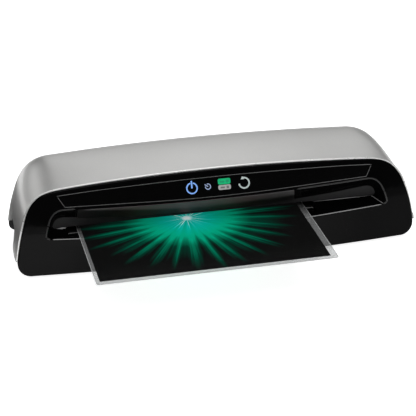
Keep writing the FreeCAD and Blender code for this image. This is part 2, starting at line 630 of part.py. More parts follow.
# ------------------------------------------------------------------- rollers
def shaft(yc, zc, rb, re_):
    s = fuse([cylx(yc, zc, rb, FR_L + 2.4, FR_R - 2.4), cylx(yc, zc, re_, FR_L - 7.0, FR_R + 13.8)])
    # groove for a retaining clip on the left, flat for the gear on the right
    g = cylx(yc, zc, re_ + 1, FR_L - 5.2, FR_L - 4.2).cut(cylx(yc, zc, re_ - 0.6, FR_L - 6, FR_L - 3))
    s = s.cut(g)
    s = s.cut(box(GEAR_X0 - 0.2, yc - 9, zc + re_ - 0.7, FR_R + 20, yc + 9, zc + re_ + 5))
    return s


def sleeve(yc, zc, ro, ri):
    return cylx(yc, zc, ro, ROLL_X0, ROLL_X1).cut(cylx(yc, zc, ri, ROLL_X0 - 1, ROLL_X1 + 1))


def gear(n, yc, zc, phase, bore, flat):
    rp = MOD * n / 2.0
    al = math.radians(22.5)
    rb = rp * math.cos(al)
    ra, rf = rp + 0.80 * MOD, rp - 1.15 * MOD
    half = math.pi / (2 * n) - 0.075 / rp        # thinned for backlash
    inv_p = math.tan(al) - al
    pts = []
    for k in range(n):
        c = phase + 2 * math.pi * k / n
        flank = []
        r_lo = max(rb, rf)
        if rf < rb:
            flank.append((rf, half + inv_p))
        for i in range(5):
            r = r_lo + (ra - r_lo) * i / 4.0
            q = math.acos(min(1.0, rb / r))
            flank.append((r, half + inv_p - (math.tan(q) - q)))
        for r, a in flank:
            pts.append((r, c - a))
        for r, a in reversed(flank):
            pts.append((r, c + a))
    poly = [(yc + r * math.cos(a), zc + r * math.sin(a)) for r, a in pts]
    g = poly_x(poly, GEAR_X0, GEAR_X0 + GEAR_W)
    hole = cylx(yc, zc, bore, GEAR_X0 - 1, GEAR_X0 + GEAR_W + 1)
    if flat:
        hole = hole.cut(box(GEAR_X0 - 2, yc - 9, zc + bore - 0.68, GEAR_X0 + 20, yc + 9, zc + bore + 5))
    return g.cut(hole)


def mesh_phase(nA, phA, A, nB, B):
    phi = math.atan2(B[1] - A[1], B[0] - A[0])
    dA = (phA - phi) / (2 * math.pi / nA)
    dB = 0.5 - dA
    return phi + math.pi + dB * 2 * math.pi / nB


ph_hl = math.radians(3.0)
ph_hu = mesh_phase(N_HOT, ph_hl, (Y_HOT, ZHL), N_HOT, (Y_HOT, ZHU))
ph_i = mesh_phase(N_HOT, ph_hl, (Y_HOT, ZHL), N_IDLER, (IY, IZ))
ph_el = mesh_phase(N_IDLER, ph_i, (IY, IZ), N_EXIT, (Y_EXIT, ZEL))
ph_eu = mesh_phase(N_EXIT, ph_el, (Y_EXIT, ZEL), N_EXIT, (Y_EXIT, ZEU))
ph_p = mesh_phase(N_HOT, ph_hl, (Y_HOT, ZHL), N_PINION, (PY, PZ))

SH_H, SH_HE = 6.0, 4.0
SH_E, SH_EE = 5.0, 3.5
for nm, yc, zc, r, rs, re_, n, ph in (
        ("hot_upper", Y_HOT, ZHU, R_HOT, SH_H, SH_HE, N_HOT, ph_hu),
        ("hot_lower", Y_HOT, ZHL, R_HOT, SH_H, SH_HE, N_HOT, ph_hl),
        ("exit_upper", Y_EXIT, ZEU, R_EXIT, SH_E, SH_EE, N_EXIT, ph_eu),
        ("exit_lower", Y_EXIT, ZEL, R_EXIT, SH_E, SH_EE, N_EXIT, ph_el)):
    put(nm + "_shaft", shaft(yc, zc, rs, re_))
    put(nm + "_sleeve", sleeve(yc, zc, r, rs))
    put(nm + "_gear", gear(n, yc, zc, ph, re_ + 0.02, True))

idl = gear(N_IDLER, IY, IZ, ph_i, 3.05, False)
idl = idl.cut(cylx(IY, IZ, 11.0, GEAR_X0 - 1, GEAR_X0 + 2.5).cut(cylx(IY, IZ, 5.5, GEAR_X0 - 2, GEAR_X0 + 3)))
put("idler_gear", idl)
put("idler_stud", fuse([cylx(IY, IZ, 2.5, FR_R - 1.2, FR_R + FR_T), cylx(IY, IZ, 4.6, FR_R + FR_T + 0.02, GEAR_X0 - 0.35),
                        cylx(IY, IZ, 2.5, FR_R, FR_R + 3), cylx(IY, IZ, 3.0, GEAR_X0 - 1, GEAR_X0 + GEAR_W + 0.4),
                        cylx(IY, IZ, 4.2, GEAR_X0 + GEAR_W + 0.35, GEAR_X0 + GEAR_W + 1.4)]))
pin = fuse([gear(N_PINION, PY, PZ, ph_p, 0.5, False), cylx(PY, PZ, 3.0, GEAR_X0, 158.0)])
put("motor_pinion", pin)

# ---------------------------------------------------------------- bushings
def round_bush(yc, zc, rbody, rshaft, left):
    if left:
        b = fuse([cylx(yc, zc, rbody, FR_L - 3.6, FR_L + 0.15), cylx(yc, zc, rbody + 1.6, FR_L + 0.1, FR_L + 2.1)])
    else:
        b = fuse([cylx(yc, zc, rbody, FR_R - 0.15, FR_R + 3.6), cylx(yc, zc, rbody + 1.6, FR_R - 2.1, FR_R - 0.1)])
    return b.cut(cylx(yc, zc, rshaft + 0.05, -230, 230))


def block_bush(yc, zc, h, rshaft, left):
    x0 = FR_L - FR_T if left else FR_R
    b = fuse([box(x0 - 0.2, yc - h, zc - h, x0 + FR_T + 0.2, yc + h, zc + h),
              box(x0 - 2.1, yc - h - 1.4, zc - h + 0.4, x0 - 0.12, yc + h + 1.4, zc + h),
              box(x0 + FR_T + 0.12, yc - h - 1.4, zc - h + 0.4, x0 + FR_T + 2.1, yc + h + 1.4, zc + h)])
    return b.cut(cylx(yc, zc, rshaft + 0.05, -230, 230))


put("bushings_hot", group([round_bush(Y_HOT, ZHL, 7.0, SH_HE, True), round_bush(Y_HOT, ZHL, 7.0, SH_HE, False),
                           block_bush(Y_HOT, ZHU, UH, SH_HE, True), block_bush(Y_HOT, ZHU, UH, SH_HE, False)]))
put("bushings_exit", group([round_bush(Y_EXIT, ZEL, 6.0, SH_EE, True), round_bush(Y_EXIT, ZEL, 6.0, SH_EE, False),
                            block_bush(Y_EXIT, ZEU, UE, SH_EE, True), block_bush(Y_EXIT, ZEU, UE, SH_EE, False)]))


def spring(xc, yc, z0, z1, r, wire):
    turns = 5.0
    hgt = z1 - z0 - wire
    helix = Part.makeHelix(hgt / turns, hgt, r)
    prof = Part.Wire([Part.makeCircle(wire / 2.0, V(r, 0, 0), V(0, 1, 0))])
    s = Part.Wire(helix).makePipeShell([prof], True, True)
    s.translate(V(xc, yc, z0 + wire / 2.0))
    return s


springs = []
for xc in (FR_L - FR_T / 2, FR_R + FR_T / 2):
    springs.append(spring(xc, Y_HOT, ZHU + UH + 0.05, 82.95, 2.9, 0.8))
    springs.append(spring(xc, Y_EXIT, ZEU + UE + 0.05, 77.95, 2.9, 0.8))
put("nip_springs", group(springs))

# ---------------------------------------------------------------- hot shoes
SX0, SX1 = -190.0, 122.0
shoe_u = box(SX0, 81.5, 55.0, SX1, 114.5, 78.5).cut(cylx(Y_HOT, ZHU, R_HOT + 1.4, SX0 - 1, SX1 + 1))
shoe_u = shoe_u.cut(poly_x([(70, 54), (70, 57.5), (81.5, 57.5), (88, 54)], SX0 - 1, SX1 + 1))
shoe_l = box(SX0, 81.5, 21.5, SX1, 114.5, 45.0).cut(cylx(Y_HOT, ZHL, R_HOT + 1.4, SX0 - 1, SX1 + 1))
put("hot_shoe_upper", shoe_u)
put("hot_shoe_lower", shoe_l)
put("strip_heaters", group([box(-182, 86, 78.55, 114, 110, 80.1), box(-182, 86, 19.9, 114, 110, 21.45)]))
mounts = []
for (xa__, xb__) in ((FR_L + 0.02, SX0 - 0.02), (SX1 + 0.02, FR_R - 0.02)):
    for y0 in (82.5, 108.2):
        mounts.append(box(xa__, y0, 70.2, xb__, y0 + 5.0, 77.0))
        mounts.append(box(xa__, y0, 23.0, xb__, y0 + 5.0, 29.8))
put("shoe_mounts", group(mounts))
th = []
for x in (-110, 52):
    th.append(fuse([cyly(x, 67.5, 8.0, 75.5, 81.45), cyly(x, 67.5, 5.0, 72.0, 76.0),
                    box(x - 12, 79.9, 65.5, x + 12, 81.45, 69.5)]))
put("thermostats", group(th))
put("thermal_fuse", fuse([cylx(98, 17.6, 2.2, -40, -22), box(-46, 95.5, 19.0, -16, 100.5, 19.85), cylx(98, 17.6, 0.7, -52, -10)]))

# ------------------------------------------------------------- paper guides
GX0, GX1 = FR_L + 0.3, FR_R - 0.3


def mirror_z(pts):
    return [(y, 2 * ZF - z) for y, z in pts]


entry_l = [(149.3, 44.6), (149.3, 46.1), (139, 48.6), (116.2, 48.6), (116.2, 47.1), (138.7, 47.1)]
entry_u = [(149.3, 57.4), (149.3, 55.9), (139, 52.2), (116.2, 51.5), (116.2, 53.0), (138.7, 53.7)]
el = poly_x(entry_l, SLOT_X0 - 1.5, SLOT_X1 + 1.5)
el = fuse([el, box(GX0, 118, 44.0, GX1, 119.5, 47.2), box(GX0, 134, 42.0, GX1, 135.5, 47.2)])
eu = poly_x(entry_u, SLOT_X0 - 1.5, SLOT_X1 + 1.5)
eu = fuse([eu, box(GX0, 118, 52.9, GX1, 119.5, 57.0), box(GX0, 134, 53.5, GX1, 135.5, 59.0)])
put("entry_guide_lower", el)
put("entry_guide_upper", eu)


def mid(pts_plate, finger, rib):
    s = [poly_x(pts_plate, GX0, GX1)]
    for i in range(7):
        x = -170 + i * 46
        s.append(poly_x(finger, x - 3, x + 3))
    s.append(poly_x(rib, GX0, GX1))
    return fuse(s)


plate = [(63.5, 48.4), (84.5, 48.4), (84.5, 46.9), (63.5, 46.9)]
finger = [(84.0, 46.9), (90.7, 47.9), (90.7, 48.4), (84.0, 48.4)]
rib = [(70, 47.0), (70, 43.0), (71.5, 43.0), (71.5, 47.0)]
put("mid_guide_lower", mid(plate, finger, rib))
put("mid_guide_upper", mid(mirror_z(plate), mirror_z(finger), mirror_z(rib)))

eg = fuse([poly_x([(14.0, 46.9), (14.6, 47.7), (16, 47.9), (42, 48.2), (42, 46.7), (15, 46.3), (14.2, 46.3)],
                  SLOT_X0 + 0.5, SLOT_X1 - 0.5),
           poly_x([(31, 46.75), (31, 48.0), (42, 48.2), (42, 46.7)], GX0, GX1),
           poly_x([(33, 47), (33, 41), (34.5, 41), (34.5, 47)], GX0, GX1)])
# small upturned horns at both ends of the lip
for x0 in (SLOT_X0 + 0.5, SLOT_X1 - 6.5):
    eg = fuse([eg, poly_x([(14.0, 46.9), (13.4, 48.2), (14.2, 48.6), (16.5, 48.2), (17, 47.5)], x0, x0 + 6.0)])
put("exit_guide_lower", eg)

# ---------------------------------------------------------------- drive
mp = fuse([box(151.0, 88, 9.0, 152.5, 136, 79.5), box(FR_R + FR_T + 0.05, 92, 78.0, 152, 122, 79.5),
           box(FR_R + FR_T + 0.05, 92, 9.0, 152, 130, 10.5),
           box(FR_R + FR_T + 0.05, 92, 78.0, FR_R + FR_T + 1.5, 120, 88.0),
           box(FR_R + FR_T + 0.05, 96, 9.0, FR_R + FR_T + 1.5, 128, 19.0)])
mp = mp.cut(box(FR_R, 93.0, 60, 141.2, 103.0, 85))
mp = mp.cut(cylx(PY, PZ, 6.0, 150, 154)).cut(cylx(112, 66, 7, 150, 154))
put("motor_plate", mp)
gm = fuse([rbox(152.6, 97, 11, 172.6, 139, 61, 5, "x"), cylx(118, 36, 23, 172, 196),
           cylx(118, 36, 8, 195, 198), cylx(PY, PZ, 5.6, 151.2, 153),
           box(176, 108, 57, 190, 128, 62)])
gm = gm.cut(cylx(PY, PZ, 3.05, 150, 158.4))
put("gear_motor", gm)

# ---------------------------------------------------------------- boards
pb = [box(154, 24, 12.05, 230, 88, 13.6)]
pb += [box(160, 32, 13.5, 184, 54, 34), cylz(200, 38, 8.0, 13.5, 40), box(212, 50, 13.5, 228, 66, 29),
       box(160, 62, 13.5, 178, 82, 30), cylz(194, 62, 5.0, 13.5, 30), box(188, 74, 13.5, 206, 84, 24),
       box(212, 74, 13.5, 228, 84, 22), box(184, 47, 13.5, 186.5, 60, 40)]
put("power_board", fuse(pb))
cb = tilted(box(-78, 8.9 + 0.15, -15.6, 78, 10.5, 9.0))
holes = [tilted(cyly(x, -13.2, 1.4, 5, 14)) for x in (-70, 70)]
cb = cb.cut(group(holes))
comp = [tilted(cyly(x, z, 2.5, 3.6, 9.2)) for x, z in ((-35.9, 0.0), (-14.9, 0.0), (6.9, 4.0), (6.9, -4.0), (33.1, 0.0))]
comp += [tilted(box(44, 10.4, -8, 58, 12.2, 4)), tilted(box(-66, 10.4, -6, -50, 15.0, 4)), tilted(box(-10, 10.4, -6, 6, 11.9, 4))]
put("control_board", fuse([cb] + comp))

# ---------------------------------------------------------------- pouch
PX0, PX1, PY0_, PY1_ = POUCH_X0, POUCH_X1, POUCH_Y0, POUCH_Y1
DX0, DX1, DY0, DY1 = PX0 + 5.0, PX1 - 8.5, PY0_ + 8.0, PY1_ - 6.0
h = POUCH_T / 2.0
lo = rbox(PX0, PY0_, ZF - h, PX1, PY1_, ZF, 4.0, "z").cut(box(DX0 - 0.1, DY0 - 0.1, ZF - 0.09, DX1 + 0.1, DY1 + 0.1, ZF + 1))
hi = rbox(PX0, PY0_, ZF, PX1, PY1_, ZF + h, 4.0, "z").cut(box(DX0 - 0.1, DY0 - 0.1, ZF - 1, DX1 + 0.1, DY1 + 0.1, ZF + 0.09))
put("pouch_film", group([lo, hi]))
put("document", box(DX0, DY0, ZF - 0.07, DX1, DY1, ZF + 0.07))
print(len(NODES), "nodes")
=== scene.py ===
import bpy
import bmesh
import math
from mathutils import Matrix, Vector


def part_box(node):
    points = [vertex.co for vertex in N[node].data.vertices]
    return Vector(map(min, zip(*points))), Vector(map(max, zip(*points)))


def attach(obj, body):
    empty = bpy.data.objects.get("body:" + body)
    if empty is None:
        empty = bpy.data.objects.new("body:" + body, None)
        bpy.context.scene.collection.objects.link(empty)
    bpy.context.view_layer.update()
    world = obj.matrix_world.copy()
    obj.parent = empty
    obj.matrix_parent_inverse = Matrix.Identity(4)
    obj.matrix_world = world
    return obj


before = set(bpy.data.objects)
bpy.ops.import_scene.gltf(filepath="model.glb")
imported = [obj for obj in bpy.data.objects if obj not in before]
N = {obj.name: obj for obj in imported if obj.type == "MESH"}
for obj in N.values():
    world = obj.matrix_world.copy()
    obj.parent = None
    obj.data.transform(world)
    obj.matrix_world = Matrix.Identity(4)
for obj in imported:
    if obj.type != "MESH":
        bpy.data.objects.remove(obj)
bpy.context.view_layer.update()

# ------------------------------------------------------------ frame numbers
# working frame of the model in millimetres -> row frame in metres
flo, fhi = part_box("rubber_feet")
ZO = 4.0
blo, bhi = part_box("pouch_film")
YO = -137.0 - blo[1] * 1000.0


def R(x, y, z):
    return Vector((x / 1000.0, (y - YO) / 1000.0, (z + ZO) / 1000.0))


FZ = [(-30, -0.5), (-10, -0.2), (0, 0.0), (12, 0.25), (25, 0.6), (38, 1.4), (51, 2.8),
      (61, 4.8), (70, 7.8), (79, 11.2), (87, 15.0), (94, 18.0), (100.8, 21.0),
      (110, 25.5), (118, 30.0), (126, 35.0), (140, 44.0)]


def smooth_interp(pts, z):
    """Catmull-Rom style cubic through unevenly spaced points."""
    n = len(pts)
    k = 0
    while k < n - 2 and z > pts[k + 1][0]:
        k += 1
    z0, f0 = pts[k]
    z1, f1 = pts[k + 1]

    def slope(i):
        if i == 0:
            return (pts[1][1] - pts[0][1]) / (pts[1][0] - pts[0][0])
        if i == n - 1:
            return (pts[-1][1] - pts[-2][1]) / (pts[-1][0] - pts[-2][0])
        return (pts[i + 1][1] - pts[i - 1][1]) / (pts[i + 1][0] - pts[i - 1][0])
    h = z1 - z0
    t = (z - z0) / h
    m0, m1 = slope(k) * h, slope(k + 1) * h
    return ((2 * t ** 3 - 3 * t ** 2 + 1) * f0 + (t ** 3 - 2 * t ** 2 + t) * m0 +
            (-2 * t ** 3 + 3 * t ** 2) * f1 + (t ** 3 - t ** 2) * m1)


def yf(x, z):
    return 13.3 * ((x / 260.0) ** 2 - 1.0) + smooth_interp(FZ, z)


# ---------------------------------------------------------------- materials
class Mat:
    def __init__(self, name):
        self.m = bpy.data.materials.new(name)
        self.m.use_nodes = True
        self.t = self.m.node_tree
        self.b = self.t.nodes["Principled BSDF"]
        self.out = self.t.nodes["Material Output"]
        self.co = self.t.nodes.new("ShaderNodeTexCoord")

    def node(self, kind, **kw):
        n = self.t.nodes.new(kind)
        for k, v in kw.items():
            setattr(n, k, v)
        return n

    def link(self, a, b):
        self.t.links.new(a, b)

    def val(self, sock, v):
        self.b.inputs[sock].default_value = v

    def noise(self, scale, detail=3.0, rough=0.5, dims="3D"):
        n = self.node("ShaderNodeTexNoise", noise_dimensions=dims)
        n.inputs["Scale"].default_value = scale
        n.inputs["Detail"].default_value = detail
        n.inputs["Roughness"].default_value = rough
        if dims == "3D":
            self.link(self.co.outputs["Object"], n.inputs["Vector"])
        return n.outputs["Fac"]

    def ramp(self, fac, stops):
        r = self.node("ShaderNodeValToRGB")
        e = r.color_ramp.elements
        while len(e) > 1:
            e.remove(e[-1])
        e[0].position = stops[0][0]
        e[0].color = tuple(stops[0][1]) + ((1,) if len(stops[0][1]) == 3 else ())
        for p, c in stops[1:]:
            q = e.new(p)
            q.color = tuple(c) + ((1,) if len(c) == 3 else ())
        self.link(fac, r.inputs["Fac"])
        return r.outputs["Color"]

    def remap(self, fac, a, b, lo, hi):
        r = self.node("ShaderNodeMapRange")
        r.inputs[1].default_value = a
        r.inputs[2].default_value = b
        r.inputs[3].default_value = lo
        r.inputs[4].default_value = hi
        self.link(fac, r.inputs[0])
        return r.outputs[0]

    def math(self, op, a, b=None, c=None, clamp=False):
        n = self.node("ShaderNodeMath", operation=op, use_clamp=clamp)
        for i, v in enumerate((a, b, c)):
            if v is None:
                continue
            if isinstance(v, (int, float)):
                n.inputs[i].default_value = v
            else:
                self.link(v, n.inputs[i])
        return n.outputs[0]

    def bump(self, fac, strength, dist):
        b = self.node("ShaderNodeBump")
        b.inputs["Strength"].default_value = strength
        b.inputs["Distance"].default_value = dist
        self.link(fac, b.inputs["Height"])
        self.link(b.outputs["Normal"], self.b.inputs["Normal"])


def grad(c, k):
    return tuple(max(0.0, min(1.0, v * k)) for v in c)


def plastic(name, col, rough, var=0.12, grain=0.0, grain_scale=900.0, spec=0.5, smudge=0.04):
    """Moulded plastic: faint colour drift, roughness drift and a moulded grain."""
    m = Mat(name)
    n = m.noise(14.0, 4.0, 0.6)
    m.link(m.ramp(n, [(0.3, grad(col, 1 - var)), (0.7, grad(col, 1 + var))]), m.b.inputs["Base Color"])
    n2 = m.noise(55.0, 5.0, 0.65)
    m.link(m.remap(n2, 0.3, 0.7, max(0.02, rough - smudge), rough + smudge), m.b.inputs["Roughness"])
    m.val("Specular IOR Level", spec)
    if grain:
        m.bump(m.noise(grain_scale, 2.0, 0.6), grain, 0.0004)
    return m.m


def metal(name, col, rough, streak=(1, 1, 1), var=0.08, metallic=1.0, bump=0.06, scale=120.0):
    m = Mat(name)
    mp = m.node("ShaderNodeMapping")
    mp.inputs["Scale"].default_value = streak
    m.link(m.co.outputs["Object"], mp.inputs["Vector"])
    n = m.node("ShaderNodeTexNoise")
    n.inputs["Scale"].default_value = scale
    n.inputs["Detail"].default_value = 5.0
    m.link(mp.outputs["Vector"], n.inputs["Vector"])
    f = n.outputs["Fac"]
    m.link(m.ramp(f, [(0.3, grad(col, 1 - var)), (0.7, grad(col, 1 + var))]), m.b.inputs["Base Color"])
    m.link(m.remap(f, 0.3, 0.7, max(0.05, rough - 0.06), rough + 0.08), m.b.inputs["Roughness"])
    m.val("Metallic", metallic)
    m.bump(f, bump, 0.0003)
    return m.m


def assign(node, mat):
    ob = N[node]
    if not ob.material_slots:
        ob.data.materials.append(mat)
    for s in ob.material_slots:
        s.material = mat


# silver lacquer: fine metallic flake over grey, soft satin, with painted shade darkening it towards the bottom
def silver():
    m = Mat("silver_lacquer")
    flake = m.node("ShaderNodeTexVoronoi")
    flake.inputs["Scale"].default_value = 2600.0
    m.link(m.co.outputs["Object"], flake.inputs["Vector"])
    sep = m.node("ShaderNodeSeparateColor")
    m.link(flake.outputs["Color"], sep.inputs["Color"])
    big = m.noise(9.0, 3.0, 0.5)
    k = m.math("ADD", m.math("MULTIPLY", sep.outputs[0], 0.35), m.math("MULTIPLY", big, 0.65))
    base = m.ramp(k, [(0.15, (0.475, 0.474, 0.466)), (0.5, (0.525, 0.524, 0.515)), (0.85, (0.58, 0.579, 0.57))])
    # painted shade: the base colour is multiplied darker towards the bottom of the case
    sx = m.node("ShaderNodeSeparateXYZ")
    m.link(m.co.outputs["Object"], sx.inputs["Vector"])
    painted_shade_low = m.ramp(m.remap(sx.outputs[2], 0.010, 0.100, 0.0, 1.0), [(0.0, (0.38,) * 3), (0.25, (0.50,) * 3), (0.5, (0.76,) * 3), (1.0, (1.0,) * 3)])
    mix = m.node("ShaderNodeMix", data_type="RGBA", blend_type="MULTIPLY")
    mix.inputs[0].default_value = 1.0
    m.link(base, mix.inputs[6])
    m.link(painted_shade_low, mix.inputs[7])
    m.link(mix.outputs[2], m.b.inputs["Base Color"])
    m.link(m.remap(sep.outputs[1], 0.0, 1.0, 0.30, 0.40), m.b.inputs["Roughness"])
    m.val("Metallic", 0.80)
    m.val("Specular IOR Level", 0.4)
    m.bump(m.noise(1400.0, 2.0, 0.6), 0.10, 0.00025)
    return m.m


def gloss_black():
    m = Mat("gloss_black_front")
    n = m.noise(7.0, 3.0, 0.5)
    m.link(m.ramp(n, [(0.3, (0.0010, 0.0010, 0.0011)), (0.7, (0.0018, 0.0018, 0.0019))]), m.b.inputs["Base Color"])
    n2 = m.noise(35.0, 4.0, 0.6)
    m.link(m.remap(n2, 0.3, 0.7, 0.085, 0.125), m.b.inputs["Roughness"])
    sx = m.node("ShaderNodeSeparateXYZ")
    m.link(m.co.outputs["Object"], sx.inputs["Vector"])
    m.link(m.remap(sx.outputs[0], 0.06, 0.20, 0.092, 0.042), m.b.inputs["Specular IOR Level"])
    m.bump(m.noise(40.0, 2.0, 0.5), 0.02, 0.0006)
    return m.m


def lens_black():
    m = Mat("panel_window")
    n = m.noise(10.0, 3.0, 0.5)
    m.link(m.ramp(n, [(0.3, (0.0012, 0.0012, 0.0013)), (0.7, (0.0020, 0.0020, 0.0021))]), m.b.inputs["Base Color"])
    m.link(m.remap(m.noise(60.0, 4.0, 0.6), 0.3, 0.7, 0.14, 0.20), m.b.inputs["Roughness"])
    m.val("Specular IOR Level", 0.10)
    return m.m


def lit(name, col, strength, var=0.06):
    """Back-lit symbol: even glow with a faint drift."""
    m = Mat(name)
    c = m.ramp(m.noise(220.0, 2.0, 0.5), [(0.3, grad(col, 1 - var)), (0.7, grad(col, 1 + var))])
    m.link(c, m.b.inputs["Base Color"])
    m.link(c, m.b.inputs["Emission Color"])
    m.val("Emission Strength", strength)
    m.link(m.remap(m.noise(300.0, 2.0, 0.5), 0.3, 0.7, 0.30, 0.40), m.b.inputs["Roughness"])
    return m.m


def window(name, col, mark, strength, bars):
    """Status window: a lit field with a few short plain bars and dots in place of writing."""
    m = Mat(name)
    sx = m.node("ShaderNodeSeparateXYZ")
    m.link(m.co.outputs["Object"], sx.inputs["Vector"])
    x, z = sx.outputs[0], sx.outputs[2]
    mask = None
    for (x0, x1, z0, z1) in bars:
        a = m.math("MULTIPLY", m.math("GREATER_THAN", x, x0 / 1000.0), m.math("LESS_THAN", x, x1 / 1000.0))
        b = m.math("MULTIPLY", m.math("GREATER_THAN", z, (z0 + ZO) / 1000.0), m.math("LESS_THAN", z, (z1 + ZO) / 1000.0))
        c = m.math("MULTIPLY", a, b)
        mask = c if mask is None else m.math("MAXIMUM", mask, c)
    drift = m.ramp(m.noise(160.0, 2.0, 0.5), [(0.3, grad(col, 0.94)), (0.7, grad(col, 1.05))])
    mix = m.node("ShaderNodeMix", data_type="RGBA")
    m.link(mask, mix.inputs[0])
    m.link(drift, mix.inputs[6])
    mix.inputs[7].default_value = tuple(mark) + (1,)
    m.link(mix.outputs[2], m.b.inputs["Base Color"])
    m.link(mix.outputs[2], m.b.inputs["Emission Color"])
    m.val("Emission Strength", strength)
    m.link(m.remap(m.noise(300.0, 2.0, 0.5), 0.3, 0.7, 0.25, 0.35), m.b.inputs["Roughness"])
    return m.m


def burst():
    """Printed sheet: dark ground with a green burst of rays, worked out from the angle and the distance. The print also
    glows in its own colours, painted light though it is no lamp.
    """
    m = Mat("printed_sheet")
    sx = m.node("ShaderNodeSeparateXYZ")
    m.link(m.co.outputs["Object"], sx.inputs["Vector"])
    c0 = R(-41.0, 18.6, 50)
    dx = m.math("SUBTRACT", sx.outputs[0], c0[0])
    dy = m.math("SUBTRACT", sx.outputs[1], c0[1])
    ang = m.math("ARCTAN2", dy, dx)
    r2 = m.math("ADD", m.math("MULTIPLY", dx, dx), m.math("MULTIPLY", dy, dy))
    r = m.math("SQRT", r2)
    re = r

    def n1(scale, off, detail=1.0, rough=0.5):
        n = m.node("ShaderNodeTexNoise", noise_dimensions="1D")
        n.inputs["Scale"].default_value = scale
        n.inputs["Detail"].default_value = detail
        n.inputs["Roughness"].default_value = rough
        m.link(m.math("ADD", ang, off), n.inputs["W"])
        return n.outputs[0]

    def ray_at(a_deg, width):
        """Soft spike in one direction, 1 on its axis and 0 beyond width radians."""
        q = m.math("ABSOLUTE", m.math("SUBTRACT", ang, math.radians(a_deg)))
        return m.math("SUBTRACT", 1.0, m.math("DIVIDE", q, width), None, True)
    mid_ = m.remap(n1(6.5, 4.1), 0.36, 0.66, 0.0, 1.0)
    fine = m.remap(n1(17.0, 7.7, 1.5, 0.6), 0.38, 0.64, 0.0, 1.0)
    hair = m.remap(n1(60.0, 2.3, 1.0, 0.5), 0.35, 0.65, 0.0, 1.0)
    # main rays, evenly spaced
    mains = None
    for a_deg in range(-180, 181, 12):
        q = m.math("MULTIPLY", m.math("POWER", ray_at(a_deg, 0.09), 0.9), 0.9)
        mains = q if mains is None else m.math("MAXIMUM", mains, q)
    ray = m.math("ADD", m.math("MULTIPLY", mains, 0.60), m.math("ADD", m.math("MULTIPLY", fine, 0.27),
                                                                 m.math("MULTIPLY", mid_, 0.20)), None, True)
    # the disc of solid green, then the rays that fade towards their tips
    disc = m.remap(m.math("ADD", re, m.math("MULTIPLY", ray, -0.030)), 0.044, 0.090, 1.0, 0.0)
    tip = m.math("ADD", 0.107, m.math("MULTIPLY", ray, 0.060))
    u = m.math("DIVIDE", re, tip)
    body = m.math("MULTIPLY", m.math("SUBTRACT", 1.0, m.math("POWER", u, 2.8), None, True),
                  m.math("ADD", 0.18, m.math("MULTIPLY", ray, 0.87)))
    streak = m.math("MULTIPLY", body, m.math("ADD", 0.80, m.math("MULTIPLY", hair, 0.26)))
    green = m.math("MAXIMUM", m.math("MULTIPLY", streak, 0.58), m.math("MULTIPLY", disc, 0.54))
    # cyan inside, white star at the centre
    cyan = m.math("MULTIPLY", m.math("SUBTRACT", 1.0, m.math("DIVIDE", r, 0.058), None, True),
                  m.math("ADD", 0.13, m.math("MULTIPLY", mid_, 0.16)))
    core = m.math("POWER", m.math("SUBTRACT", 1.0, m.math("DIVIDE", r, 0.0085), None, True), 0.9)
    spikes = m.math("MULTIPLY", m.math("SUBTRACT", 1.0, m.math("DIVIDE", r, 0.040), None, True),
                    m.math("POWER", m.remap(n1(11.0, 31.7), 0.54, 0.70, 0.0, 1.0), 1.3))
    tot = m.math("ADD", green, m.math("ADD", cyan, m.math("ADD", m.math("MULTIPLY", core, 0.46),
                                                         m.math("MULTIPLY", spikes, 0.46))))
    grainy = m.math("MULTIPLY", m.math("SUBTRACT", m.noise(2500.0, 2.0, 0.6), 0.5), 0.015)
    tot = m.math("ADD", tot, grainy, None, True)
    col = m.ramp(tot, [(0.0, (0.0042, 0.0042, 0.0042)), (0.05, (0.0042, 0.0050, 0.0048)), (0.20, (0.001, 0.030, 0.018)),
                       (0.40, (0.001, 0.15, 0.080)), (0.56, (0.001, 0.31, 0.178)), (0.70, (0.002, 0.40, 0.33)),
                       (0.84, (0.05, 0.57, 0.54)), (0.95, (0.46, 0.74, 0.72)), (1.0, (0.72, 0.86, 0.84))])
    m.link(col, m.b.inputs["Base Color"])
    # painted light: the print glows in its own colours, evening out the shade under the hood
    m.link(col, m.b.inputs["Emission Color"])
    m.val("Emission Strength", 0.55)
    m.link(m.remap(m.noise(90.0, 3.0, 0.5), 0.3, 0.7, 0.42, 0.5), m.b.inputs["Roughness"])
    m.val("Specular IOR Level", 0.0)
    return m.m


